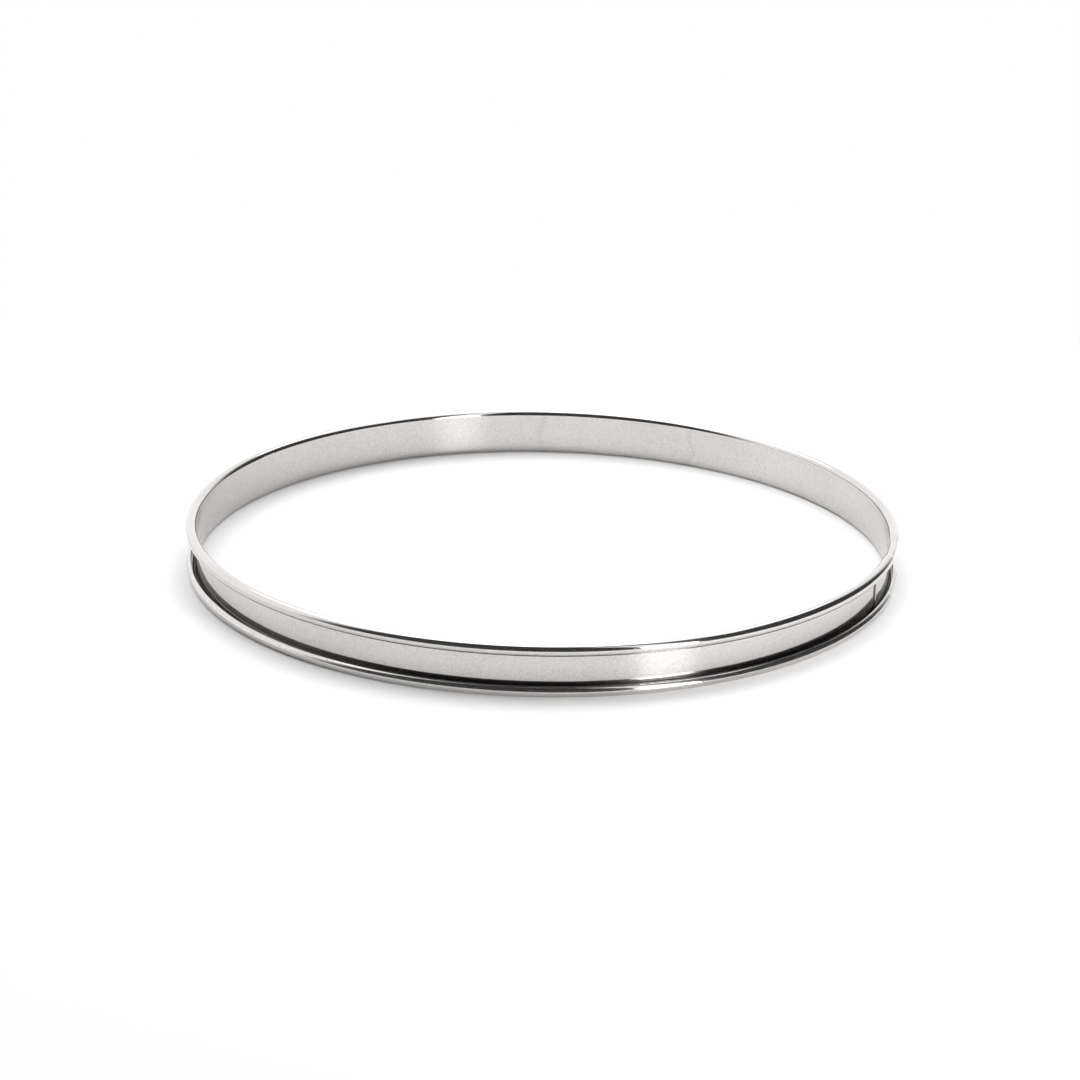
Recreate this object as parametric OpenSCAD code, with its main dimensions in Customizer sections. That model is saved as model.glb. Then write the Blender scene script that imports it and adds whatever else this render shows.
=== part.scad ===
// Rolled edge tart ring: one strip of sheet steel, bent into a hoop.
// Both long edges are rolled outwards into hollow beads, open towards the wall, and the two ends
// lap and are spot welded.
// The origin is the middle of the ring on the surface that it stands on, and +Z is up.

/* [Ring] */
// Inside diameter of the hoop, which is the size of the tart
inner_d = 280; // [80:1:400]
// Height of the ring from foot to rim
height = 20; // [12:0.5:60]
// Thickness of the sheet
sheet_t = 0.5; // [0.3:0.05:0.6]

/* [Rolled beads] */
// Outside diameter of a rolled bead
bead_d = 4.4; // [3:0.1:5]
// How far round an edge is rolled from the wall to its free edge, in degrees
bead_turn = 254; // [200:2:280]

/* [Lap seam] */
// Direction of the lap's open end, seen from above, counted from +X
seam_angle = -17; // [-180:1:180]
// Length over which the two ends of the strip lie over each other
lap_len = 15; // [6:1:30]
// Length of the narrowed end of the strip that shows beyond the lap
neck_len = 14; // [4:1:30]
// Length over which the narrowed end comes back to the full section
joggle_len = 12; // [4:1:30]

/* [Hidden] */

bead_r = bead_d / 2;
wall_r = inner_d / 2;
// Share by which the joggle comes out tighter than the hoop, as it is pressed in afterwards
joggle_tighter = 1 / 28;
joggle_r = wall_r * (1 - joggle_tighter);
// Short steps that the joggle is drawn in
joggle_steps = 6;
// Overlap of neighbouring stretches, so that they join as one piece
step_overlap = 0.05;
ring_facets = 360;
// Narrow flats that a full turn of a roll is drawn with, each standing off the circle by under 1%
bead_flats = 24;

// Points along an arc round a middle, from one angle to another
function arc(middle, r, from_a, to_a) =
    let (
        flats = ceil(abs(to_a - from_a) * bead_flats / 360),
        turn = (to_a - from_a) / flats
    )
    [for (i = [0 : flats]) middle + r * [cos(from_a + i * turn), sin(from_a + i * turn)]];

// Points of the lower half of the strip's section. They run down the inside of the wall, round the
// outside of the roll to its free edge, and back inside the roll to the outside of the wall.
// bend_r is the radius at the inside of the wall, and bead_out is the outside radius of the roll.
// Every roll keeps the same middle height, so that ends nest.
function half_section(bend_r, bead_out) =
    let (
        middle = [bend_r + bead_out, bead_r],
        hollow_r = bead_out - sheet_t,
        // The roll starts at the inside of the wall, which is at 180 degrees from its middle
        free_a = 180 + bead_turn
    )
    concat(
        arc(middle, bead_out, 180, free_a),
        arc(middle, hollow_r, free_a, 180)
    );

// Whole section of the strip: the half section and its mirror image at the rim
module strip_section(bend_r, bead_out) {
    lower = half_section(bend_r, bead_out);
    last = len(lower) - 1;
    upper = [for (i = [0 : last]) [lower[last - i].x, height - lower[last - i].y]];
    polygon(concat(lower, upper));
}

// Angle at the middle of a bend for a length along its wall
function turn(length, bend_r) = length * 180 / (PI * bend_r);

// A stretch of the hoop from one place to another, in millimetres along the wall from the
// lap's open end, bent from the section that is given as its child
module stretch(from_mm, to_mm, bend_r = wall_r) {
    rotate([0, 0, turn(from_mm, bend_r)])
        rotate_extrude(angle = turn(to_mm - from_mm, bend_r), $fn = ring_facets)
            children();
}

// The joggle, which brings the strip in by one thickness while its rolls grow to their full size
module joggle() {
    step_len = joggle_len / joggle_steps;
    rotate([0, 0, turn(neck_len + joggle_len / 2, wall_r)])
        translate([wall_r - joggle_r, 0, 0])
            for (i = [0 : joggle_steps - 1]) {
                from_mm = i * step_len - joggle_len / 2;
                narrowing = sheet_t * (1 - (i + 0.5) / joggle_steps);
                stretch(from_mm - step_overlap, from_mm + step_len, joggle_r)
                    strip_section(joggle_r + narrowing, bead_r - narrowing);
            }
}

module ring_band() {
    color("lightsteelblue")
        rotate([0, 0, seam_angle])
            union() {
                stretch(neck_len + joggle_len - step_overlap, 2 * PI * wall_r)
                    strip_section(wall_r, bead_r);
                // The outer end of the strip is set out by one thickness, and its rolls fit inside
                // the rolls of the other end
                stretch(-lap_len, neck_len)
                    strip_section(wall_r + sheet_t, bead_r - sheet_t);
                joggle();
            }
}

ring_band();
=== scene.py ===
"""Dresses the rolled edge tart ring and stands it in a plain pale studio, as photographed."""
import logging
import math
from dataclasses import dataclass
from enum import Enum
from typing import Any

import bmesh
import bpy
from mathutils import Matrix, Vector


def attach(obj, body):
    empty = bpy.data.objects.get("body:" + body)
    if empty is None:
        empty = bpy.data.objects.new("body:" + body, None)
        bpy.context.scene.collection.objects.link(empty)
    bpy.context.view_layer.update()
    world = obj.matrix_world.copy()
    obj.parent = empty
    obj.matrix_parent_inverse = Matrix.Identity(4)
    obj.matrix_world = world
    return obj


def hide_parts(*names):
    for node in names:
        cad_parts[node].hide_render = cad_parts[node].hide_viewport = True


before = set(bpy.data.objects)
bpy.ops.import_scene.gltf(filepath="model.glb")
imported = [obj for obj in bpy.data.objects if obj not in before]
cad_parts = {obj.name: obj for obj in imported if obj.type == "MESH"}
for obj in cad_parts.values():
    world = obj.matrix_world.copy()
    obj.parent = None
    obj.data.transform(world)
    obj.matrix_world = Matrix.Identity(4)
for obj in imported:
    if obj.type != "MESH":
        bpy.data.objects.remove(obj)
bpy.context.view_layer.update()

MM = 0.001
DEGREES = 180 / math.pi
WHITE = (1.0, 1.0, 1.0)
# this attribute of the strip's points is 1 inside the rolls and on the cut ends, which are darkened
# with painted shade
SHADE_ATTRIBUTE = "painted_shade_in_rolls_and_cuts"
log = logging.getLogger("tart_ring")

Number = int | float
Triple = tuple[float, float, float]
Colour = Triple


class Op(Enum):
    """The sums that a Math node does here."""

    ADD = "ADD"
    SUBTRACT = "SUBTRACT"
    MULTIPLY = "MULTIPLY"
    ABSOLUTE = "ABSOLUTE"
    ARCTAN2 = "ARCTAN2"
    MAXIMUM = "MAXIMUM"
    MINIMUM = "MINIMUM"


class Ray(Enum):
    """The kinds of ray that a material or the surroundings can tell apart."""

    CAMERA = "Is Camera Ray"
    GLOSS = "Is Glossy Ray"
    GLASS = "Is Transmission Ray"


class Value:
    """A number that varies over a surface, which Python's operators work on."""

    def __init__(self, shader: "Shader", socket: bpy.types.NodeSocket) -> None:
        """Wraps the output socket of a node tree that carries the number."""
        self.shader = shader
        self.socket = socket

    def __add__(self, other: "Value | Number") -> "Value":
        """The sum of two values."""
        return self.shader.sum(Op.ADD, self, other)

    def __radd__(self, other: Number) -> "Value":
        """The sum of a number and this value."""
        return self.shader.sum(Op.ADD, other, self)

    def __sub__(self, other: "Value | Number") -> "Value":
        """This value less another."""
        return self.shader.sum(Op.SUBTRACT, self, other)

    def __rsub__(self, other: Number) -> "Value":
        """A number less this value."""
        return self.shader.sum(Op.SUBTRACT, other, self)

    def __mul__(self, other: "Value | Number") -> "Value":
        """The product of two values."""
        return self.shader.sum(Op.MULTIPLY, self, other)

    def __rmul__(self, other: Number) -> "Value":
        """The product of a number and this value."""
        return self.shader.sum(Op.MULTIPLY, other, self)

    def __abs__(self) -> "Value":
        """This value without its sign."""
        return self.shader.sum(Op.ABSOLUTE, self)

    def clamped(self) -> "Value":
        """This value, kept from 0 to 1."""
        return self.shader.sum(Op.MAXIMUM, self.shader.sum(Op.MINIMUM, self, 1), 0)

    def step(self, low: float, high: float) -> "Value":
        """A smooth step.

        Args:
            low: Where the step starts to leave 0.
            high: Where it has reached 1.

        Returns:
            0 below low, 1 above high and a smooth rise in between.
        """
        return self.shader.add(
            "ShaderNodeMapRange",
            {"interpolation_type": "SMOOTHSTEP"},
            {"Value": self, "From Min": low, "From Max": high},
        )

    def within(self, low: float, high: float, soft: float) -> "Value":
        """1 from low to high and 0 outside, where each edge is soft for that much on both sides."""
        return self.step(low - soft, low + soft) * (1 - self.step(high - soft, high + soft))


class Shader:
    """Builds one node tree."""

    def __init__(self, tree: bpy.types.NodeTree) -> None:
        """Empties the node tree of a material or world and takes it over."""
        self.tree = tree
        tree.nodes.clear()

    def add(
        self,
        kind: str,
        settings: dict[str, Any] | None = None,
        sockets: dict[str | int, Any] | None = None,
        output: str | int = 0,
    ) -> Value:
        """Adds one node.

        Args:
            kind: The node's type.
            settings: Its settings, such as an operation, which are set first.
            sockets: The value or link of each input socket, by name or place.
            output: The output socket that is wanted, by name or place.

        Returns:
            The wanted output socket as a value.
        """
        node = self.tree.nodes.new(kind)
        for name, setting in (settings or {}).items():
            setattr(node, name, setting)
        for name, given in (sockets or {}).items():
            if isinstance(given, Value):
                self.tree.links.new(given.socket, node.inputs[name])
            else:
                node.inputs[name].default_value = given
        return Value(self, node.outputs[output] if node.outputs else None)

    def sum(self, op: Op, *values: "Value | Number") -> Value:
        """The result of a Math node on its one or two numbers."""
        return self.add("ShaderNodeMath", {"operation": op.value}, dict(enumerate(values)))

    def xyz(self, coordinates: Value) -> tuple[Value, ...]:
        """The three parts of a vector."""
        node = self.add("ShaderNodeSeparateXYZ", {}, {0: coordinates}).socket.node
        return tuple(Value(self, out) for out in node.outputs)

    def round_z(self, x: "Value | Number", y: "Value | Number") -> Value:
        """The direction of a point, in degrees from where y is 0 and x is above 0."""
        return self.sum(Op.ARCTAN2, y, x) * DEGREES

    def blend(self, share: Value, first: Any, second: Any) -> Value:
        """Mixes two colours.

        Args:
            share: How much of the second there is.
            first: The colour at 0.
            second: The colour at 1.

        Returns:
            The mixed colour.
        """
        return self.add(
            "ShaderNodeMix",
            {"data_type": "RGBA", "clamp_factor": True},
            {0: share, 6: opaque(first), 7: opaque(second)},
            output=2,
        )

    def seen_by(self, *rays: Ray) -> Value:
        """Tells some kinds of ray from the rest.

        Args:
            rays: The kinds that count.

        Returns:
            1 for a ray of any of these kinds and 0 for every other.
        """
        seen, *others = (self.add("ShaderNodeLightPath", output=ray.value) for ray in rays)
        for other in others:
            seen = self.sum(Op.MAXIMUM, seen, other)
        return seen


def opaque(colour: Any) -> Any:
    """A colour with its alpha, or the value that it already is."""
    return colour if isinstance(colour, Value) else (*colour, 1.0)


@dataclass(frozen=True)
class Layer:
    """One layer of soft noise on the steel.

    Its lumps are counted per metre along X, Y and Z. Its detail is how many finer layers it has,
    and darkens is how much tarnish it brings.
    """

    lumps: Triple
    detail: float
    darkens: float = 0.0

    def on(self, shader: Shader, place: Value) -> Value:
        """Adds the layer to a material.

        Args:
            shader: The material's node tree.
            place: The place on the surface, in metres.

        Returns:
            A number from about -0.5 to 0.5.
        """
        scaled = shader.add(
            "ShaderNodeVectorMath", {"operation": "MULTIPLY"}, {0: place, 1: self.lumps}
        )
        noise = shader.add(
            "ShaderNodeTexNoise", {}, {"Vector": scaled, "Scale": 1.0, "Detail": self.detail}
        )
        return noise - 0.5


@dataclass(frozen=True)
class SheetSteel:
    """Bright rolled stainless sheet.

    The wall keeps the mill's fine lines, which run along the strip and throw a haze up and down.
    The rolled beads are burnished by the rolling tool. The insides of the rolls and the strip's cut
    ends are darkened with painted shade. The finish changes from the wall's to the bead's between two
    heights, given
    in millimetres beyond the straight wall. Two faint rubbed marks run down the wall at the back:
    their places and widths are in degrees round the ring, counted from +X.
    """

    colour: Colour = (0.625, 0.611, 0.604)
    tarnish: Colour = (0.400, 0.378, 0.362)
    tarnish_most: float = 0.6
    tarnish_even: float = 0.36
    painted_shade: Colour = (0.150, 0.140, 0.130)
    painted_shade_cover: float = 0.68
    clouds: Layer = Layer((28.0, 28.0, 60.0), 2.0, darkens=0.7)
    mottle: Layer = Layer((620.0, 620.0, 620.0), 3.0, darkens=0.8)
    grain: Layer = Layer((1700.0, 1700.0, 1700.0), 1.0, darkens=2.2)
    lines: Layer = Layer((60.0, 60.0, 5200.0), 2.0)
    lines_height: float = 0.0006
    mottle_height: float = 0.004
    bead_from: float = -0.6
    bead_to: float = 0.4
    bead_smoothed: float = 0.7
    wall_rough: float = 0.10
    bead_rough: float = 0.07
    clouds_rough: float = 0.02
    haze_rough: float = 0.35
    haze_turn: float = 0.25
    wall_haze: float = 0.14
    bead_haze: float = 0.06
    marks_at: tuple[float, ...] = (62.0, 90.5)
    mark_width: float = 1.0
    mark_soft: float = 0.5
    mark_darkens: float = 0.38
    mark_sway: float = 9.0
    mark_ragged: float = 2.0

    def material(self, ring: "RingBand") -> bpy.types.Material:
        """Builds the steel's material.

        Args:
            ring: The ring that it is on, for where its beads are.

        Returns:
            The material.
        """
        material = bpy.data.materials.new("rolled_sheet_steel")
        material.use_nodes = True
        shader = Shader(material.node_tree)
        place = shader.add("ShaderNodeTexCoord", output="Object")
        x, y, z = shader.xyz(place)
        beyond_wall = abs(z - ring.height * MM / 2) - (ring.height / 2 - ring.bead_r) * MM
        bead = beyond_wall.step(self.bead_from * MM, self.bead_to * MM)

        clouds = self.clouds.on(shader, place)
        mottle = self.mottle.on(shader, place) * (1 - bead * self.bead_smoothed)
        grain = self.grain.on(shader, place) * (1 - bead)
        lines = self.lines.on(shader, place)
        along = shader.round_z(x, y) + clouds * self.mark_sway + mottle * self.mark_ragged
        half = self.mark_width / 2
        marks = sum(along.within(at - half, at + half, self.mark_soft) for at in self.marks_at)

        tint = (
            clouds * self.clouds.darkens
            + mottle * self.mottle.darkens
            + grain * self.grain.darkens
            + marks * self.mark_darkens
            + self.tarnish_even
        )
        colour = shader.blend(tint.clamped() * self.tarnish_most, self.colour, self.tarnish)
        # painted shade: the insides of the rolls and the cut ends are darkened towards a near-black
        # colour
        shade_mask = shader.add("ShaderNodeAttribute", {"attribute_name": SHADE_ATTRIBUTE}, output="Fac")
        colour = shader.blend(shade_mask * self.painted_shade_cover, colour, self.painted_shade)
        rough = self.wall_rough + (self.bead_rough - self.wall_rough) * bead
        rough = rough + clouds * self.clouds_rough
        height = lines * self.lines_height + mottle * self.mottle_height
        normal = shader.add(
            "ShaderNodeBump", {}, {"Strength": 1.0, "Distance": MM, "Height": height}
        )
        mirror = shader.add(
            "ShaderNodeBsdfPrincipled",
            {},
            {"Base Color": colour, "Metallic": 1.0, "Roughness": rough, "Normal": normal},
        )
        haze = shader.add(
            "ShaderNodeBsdfPrincipled",
            {},
            {
                "Base Color": colour,
                "Metallic": 1.0,
                "Roughness": self.haze_rough,
                "Anisotropic": 1.0,
                "Anisotropic Rotation": self.haze_turn,
                "Normal": normal,
            },
        )
        share = self.wall_haze + (self.bead_haze - self.wall_haze) * bead
        both = shader.add("ShaderNodeMixShader", {}, {0: share, 1: mirror, 2: haze})
        shader.add("ShaderNodeOutputMaterial", {}, {"Surface": both})
        return material


@dataclass(frozen=True)
class PaleFloor:
    """Matt white table, seen a little brighter than its light makes it.

    Away from the ring the camera and the steel see it plain white. The two distances from the
    ring's middle between which that sets in are in metres.
    """

    colour: float = 0.82
    seen: float = 1.08
    plain_from: float = 0.26
    plain_to: float = 0.48

    def material(self) -> bpy.types.Material:
        """Builds the floor's material.

        Returns:
            The material.
        """
        material = bpy.data.materials.new("matt_white_table")
        material.use_nodes = True
        shader = Shader(material.node_tree)
        seen = shader.seen_by(Ray.CAMERA, Ray.GLOSS, Ray.GLASS)
        grey = self.colour + (self.seen - self.colour) * seen
        colour = shader.add(
            "ShaderNodeCombineColor", {}, {"Red": grey, "Green": grey, "Blue": grey}
        )
        matt = shader.add("ShaderNodeBsdfDiffuse", {}, {"Color": colour})
        place = shader.add("ShaderNodeTexCoord", output="Object")
        away = shader.add(
            "ShaderNodeVectorMath", {"operation": "LENGTH"}, {0: place}, output="Value"
        )
        far = away.step(self.plain_from, self.plain_to)
        white = shader.add("ShaderNodeEmission", {}, {"Color": opaque(WHITE), "Strength": 1.0})
        both = shader.add("ShaderNodeMixShader", {}, {0: seen * far, 1: matt, 2: white})
        shader.add("ShaderNodeOutputMaterial", {}, {"Surface": both})
        # the plain white is only seen, so it isn't sampled as a lamp
        material.cycles.emission_sampling = "NONE"
        return material


@dataclass
class RingBand:
    """The whole ring: one strip of sheet, rolled at both edges and lapped. Sizes in millimetres."""

    inner_d: float = 280.0
    height: float = 20.0
    sheet_t: float = 0.5
    bead_d: float = 4.4
    bead_turn: float = 254.0
    seam_angle: float = -17.0
    lap_len: float = 15.0
    neck_len: float = 14.0
    joggle_len: float = 12.0
    edge_round: float = 0.05
    edge_steps: int = 2
    bead_steps: int = 32
    wall_steps: int = 8
    turn_steps: int = 392
    seam_finer: int = 2
    crease: float = 40.0
    finish: SheetSteel = SheetSteel()

    @property
    def wall_r(self) -> float:
        """Inside radius of the hoop."""
        return self.inner_d / 2

    @property
    def bead_r(self) -> float:
        """Outside radius of a rolled bead."""
        return self.bead_d / 2

    @property
    def bead_x(self) -> float:
        """Distance of every bead's middle from the hoop's axis."""
        return self.wall_r + self.bead_r

    @property
    def close(self) -> float:
        """How near two places on the section are that count as one."""
        return self.sheet_t / 20

    def degrees(self, along: float) -> float:
        """The angle at the hoop's middle of a length along the wall."""
        return math.degrees(along / self.wall_r)

    def half_side(self, mesh: bmesh.types.BMesh, inset: float) -> None:
        """Draws one side of the sheet's section, from mid height at Z = 0 round the foot's bead.

        Args:
            mesh: The mesh that the line is drawn in.
            inset: How far this side lies in from the roll's outside: 0 or one thickness.
        """
        wall_x = (self.wall_r + inset) * MM
        top = mesh.verts.new((wall_x, 0, 0))
        foot = mesh.verts.new((wall_x, 0, (self.bead_r - self.height / 2) * MM))
        wall = mesh.edges.new((top, foot))
        shade_mask = mesh.verts.layers.float[SHADE_ATTRIBUTE]
        before = set(mesh.verts)
        bmesh.ops.spin(
            mesh,
            geom=[foot],
            cent=(self.bead_x * MM, 0, foot.co.z),
            axis=(0, -1, 0),
            angle=math.radians(self.bead_turn),
            steps=self.bead_steps,
        )
        # the inner side of the roll is marked for painted shade
        for vert in set(mesh.verts) - before:
            vert[shade_mask] = 1.0 if inset else 0.0
        bmesh.ops.subdivide_edges(mesh, edges=[wall], cuts=self.wall_steps - 1)

    def section(self, mesh: bmesh.types.BMesh) -> None:
        """Draws the closed section of the strip in the plane of X and Z.

        Args:
            mesh: The empty mesh that it is drawn in.
        """
        mesh.verts.layers.float.new(SHADE_ATTRIBUTE)
        self.half_side(mesh, 0)
        self.half_side(mesh, self.sheet_t)
        # the roll's free edge joins both sides
        mesh.edges.new([v for v in mesh.verts if len(v.link_edges) == 1 and v.co.z < 0])
        bmesh.ops.mirror(
            mesh, geom=mesh.verts[:] + mesh.edges[:], merge_dist=self.close * MM, axis="Z"
        )
        bmesh.ops.translate(mesh, verts=mesh.verts[:], vec=(0, 0, self.height / 2 * MM))

    def narrow(self, mesh: bmesh.types.BMesh) -> None:
        """Draws in the outer end of the strip.

        Its wall moves out by one thickness and its rolls become tighter by as much, so that they
        fit inside the rolls of the other end.

        Args:
            mesh: The strip's first stretch, up to where it has its full section.
        """
        for vert in mesh.verts:
            x, y, z = (c / MM for c in vert.co)
            angle = math.atan2(y, x)
            along = (angle - math.radians(self.seam_angle)) * self.wall_r
            share = min(max((along - self.neck_len) / self.joggle_len, 0), 1)
            amount = self.sheet_t * (1 - share * share * (3 - 2 * share))
            from_axis = math.hypot(x, y)
            bead_z = self.bead_r if z < self.height / 2 else self.height - self.bead_r
            out, up = from_axis - self.bead_x, z - bead_z
            if self.on_roll(out, up):
                tighter = 1 - amount / math.hypot(out, up)
                from_axis, z = self.bead_x + out * tighter, bead_z + up * tighter
            else:
                from_axis += amount
            vert.co = Vector((from_axis * math.cos(angle), from_axis * math.sin(angle), z)) * MM

    def on_roll(self, out: float, up: float) -> bool:
        """Is a point that lies out and up from the bead's middle on the roll, and not on the wall?"""
        sides = (self.bead_r, self.bead_r - self.sheet_t)
        return any(abs(math.hypot(out, up) - side) < self.close for side in sides)

    def cap(self, mesh: bmesh.types.BMesh) -> None:
        """Closes both ends of the strip, rounds their cut edges and marks the cuts for painted shade.

        Args:
            mesh: The strip, open at its two ends.
        """
        rims = [e for e in mesh.edges if len(e.link_faces) == 1]
        # the two ends lie one lap apart, so half a lap back from the further one parts them
        furthest = max(self.azimuth(e.verts[0]) for e in rims)
        limit = furthest - self.degrees(self.lap_len) / 2
        for beyond in (True, False):
            loop = [e for e in rims if (self.azimuth(e.verts[0]) > limit) == beyond]
            bmesh.ops.contextual_create(mesh, geom=loop)
        bmesh.ops.recalc_face_normals(mesh, faces=mesh.faces[:])
        bmesh.ops.bevel(
            mesh,
            geom=rims,
            offset=self.edge_round * MM,
            affect="EDGES",
            segments=self.edge_steps,
            profile=0.5,
            material=-1,
            clamp_overlap=True,
        )
        shade_mask = mesh.verts.layers.float[SHADE_ATTRIBUTE]
        # the two cut ends are the faces with the most corners, and they are marked for painted shade
        for end in sorted(mesh.faces, key=lambda f: -len(f.verts))[:2]:
            for vert in end.verts:
                vert[shade_mask] = 1.0

    @staticmethod
    def azimuth(vert: bmesh.types.BMVert) -> float:
        """Direction of a vertex from the hoop's axis, in degrees from +X."""
        return math.degrees(math.atan2(vert.co.y, vert.co.x))

    def mesh(self) -> bpy.types.Mesh:
        """Bends the strip into the hoop.

        Returns:
            The finished mesh.
        """
        strip = bmesh.new()
        self.section(strip)
        start = math.radians(self.seam_angle - self.degrees(self.lap_len))
        bmesh.ops.rotate(
            strip, verts=strip.verts[:], cent=(0, 0, 0), matrix=Matrix.Rotation(start, 3, "Z")
        )
        drawn_in = math.radians(self.degrees(self.lap_len + self.neck_len + self.joggle_len))
        whole = math.radians(360 + self.degrees(self.lap_len))
        drawn_in_steps = round(self.turn_steps * drawn_in / whole)
        about = {"cent": (0, 0, 0), "axis": (0, 0, 1)}
        first = bmesh.ops.spin(
            strip,
            geom=strip.verts[:] + strip.edges[:],
            angle=drawn_in,
            steps=drawn_in_steps * self.seam_finer,
            **about,
        )
        self.narrow(strip)
        bmesh.ops.spin(
            strip,
            geom=[g for g in first["geom_last"] if not isinstance(g, bmesh.types.BMFace)],
            angle=whole - drawn_in,
            steps=self.turn_steps - drawn_in_steps,
            **about,
        )
        self.cap(strip)
        made = bpy.data.meshes.new("rolled_strip")
        strip.to_mesh(made)
        strip.free()
        made.shade_smooth()
        made.set_sharp_from_angle(angle=math.radians(self.crease))
        return made

    def build(self) -> bpy.types.Object:
        """Makes the ring, dresses it and puts it in place of the plain solid.

        Returns:
            The ring's object.
        """
        piece = bpy.data.objects.new("rolled_strip", self.mesh())
        bpy.context.scene.collection.objects.link(piece)
        piece.data.materials.append(self.finish.material(self))
        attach(piece, "root")
        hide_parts("ring_band")
        return piece


@dataclass
class PhotoCamera:
    """A camera at the photograph's own place, found from the ring's edges.

    Its distance is in millimetres from the ring's middle, and its scale holds at that distance.
    """

    frame_px: float = 1080.0
    px_per_mm: float = 2.4344
    distance: float = 989.31
    elevation: float = 20.376
    roll: float = -1.157
    centre_px: tuple[float, float] = (541.91, 557.50)
    sensor: float = 36.0
    nearest: float = 10.0

    def build(self) -> bpy.types.Object:
        """Makes the scene's camera.

        Returns:
            The camera's object.
        """
        focal_px = self.px_per_mm * self.distance
        tip, roll = math.radians(self.elevation), math.radians(self.roll)
        spot = Vector((0, -math.cos(tip), math.sin(tip))) * self.distance
        forward = -spot.normalized()
        level_right = Vector((1, 0, 0))
        level_down = forward.cross(level_right)
        right = level_right * math.cos(roll) + level_down * math.sin(roll)
        down = level_down * math.cos(roll) - level_right * math.sin(roll)
        axes = Matrix((right, -down, -forward)).transposed()
        # the small turn that puts the ring's middle at its own pixel, and not at the frame's middle
        off = [(c - self.frame_px / 2) / focal_px for c in self.centre_px]
        aim = Vector((off[0], -off[1], -1)).rotation_difference(Vector((0, 0, -1)))
        data = bpy.data.cameras.new("photo_camera")
        data.sensor_width = self.sensor
        data.lens = focal_px / self.frame_px * self.sensor
        data.clip_start = self.nearest * MM
        camera = bpy.data.objects.new("photo_camera", data)
        bpy.context.scene.collection.objects.link(camera)
        turned = axes @ aim.to_matrix()
        camera.matrix_world = Matrix.Translation(spot * MM) @ turned.to_4x4()
        bpy.context.scene.camera = camera
        return camera


@dataclass(frozen=True)
class SoftBox:
    """A flat panel of soft light. Sizes in metres, brightness as a multiple of white."""

    name: str
    middle: Triple
    width: float
    length: float
    brightness: float
    upright: bool = True

    def build(self) -> bpy.types.Object:
        """Makes the lamp.

        Returns:
            The lamp's object. An upright one shines towards +Y and a level one shines down.
        """
        lamp = bpy.data.lights.new(self.name, "AREA")
        lamp.shape = "RECTANGLE"
        lamp.size = self.width
        lamp.size_y = self.length
        # a panel that is as bright as white gives off pi watts from each square metre
        lamp.energy = math.pi * self.width * self.length * self.brightness
        box = bpy.data.objects.new(self.name, lamp)
        tipped = Matrix.Rotation(math.pi / 2 if self.upright else 0, 4, "X")
        box.matrix_world = Matrix.Translation(self.middle) @ tipped
        bpy.context.scene.collection.objects.link(box)
        return box


@dataclass
class Studio:
    """White table in a white studio, lit from overhead and by a tall soft light at the right.

    The camera's side of the studio is dark. That side's edges are in degrees round the table,
    where 0 is towards the camera and 90 is towards +X. The floor's size is in metres.
    """

    white: float = 1.36
    dark: float = 0.048
    dark_from: float = -74.0
    dark_to: float = 142.0
    dark_soft: float = 12.0
    floor_size: float = 6.0
    floor: PaleFloor = PaleFloor()
    boxes: tuple[SoftBox, ...] = (
        SoftBox("low_soft_box", (0.305, -0.438, 0.08), 0.174, 0.16, 26.74),
        SoftBox("high_soft_box", (0.305, -0.438, 0.88), 0.174, 1.44, 1.40),
        SoftBox("overhead_soft_box", (0.0, 0.48, 1.0), 1.5, 1.2, 1.59, upright=False),
    )

    def table(self) -> bpy.types.Object:
        """Makes the table top.

        Returns:
            The table's object.
        """
        flat = bmesh.new()
        bmesh.ops.create_grid(flat, x_segments=1, y_segments=1, size=self.floor_size / 2)
        made = bpy.data.meshes.new("white_table")
        flat.to_mesh(made)
        flat.free()
        table = bpy.data.objects.new("white_table", made)
        bpy.context.scene.collection.objects.link(table)
        made.materials.append(self.floor.material())
        return table

    def surroundings(self) -> None:
        """Puts the studio round the table, which the camera itself sees as plain white."""
        world = bpy.data.worlds.new("studio")
        bpy.context.scene.world = world
        world.use_nodes = True
        shader = Shader(world.node_tree)
        x, y, _ = shader.xyz(shader.add("ShaderNodeTexCoord", output="Generated"))
        side = shader.round_z(y * -1, x)
        dark = side.within(self.dark_from, self.dark_to, self.dark_soft)
        glow = self.white + dark * (self.dark - self.white)
        glow = glow + shader.seen_by(Ray.CAMERA) * (1 - glow)
        sky = shader.add("ShaderNodeBackground", {}, {"Color": opaque(WHITE), "Strength": glow})
        shader.add("ShaderNodeOutputWorld", {}, {"Surface": sky})

    def build(self) -> bpy.types.Object:
        """Makes the table and the light.

        Returns:
            The table's object.
        """
        self.surroundings()
        for box in self.boxes:
            box.build()
        return self.table()


def main() -> None:
    """Builds the camera, the ring and the studio in order."""
    logging.basicConfig(level=logging.INFO, format="%(name)s: %(message)s")
    bpy.context.scene.view_settings.view_transform = "Standard"
    camera = PhotoCamera().build()
    log.info("%s: lens %.1f mm", camera.name, camera.data.lens)
    ring = RingBand().build()
    log.info("%s: %d faces", ring.name, len(ring.data.polygons))
    table = Studio().build()
    log.info("%s: staged", table.name)


if __name__ == "__main__":
    main()
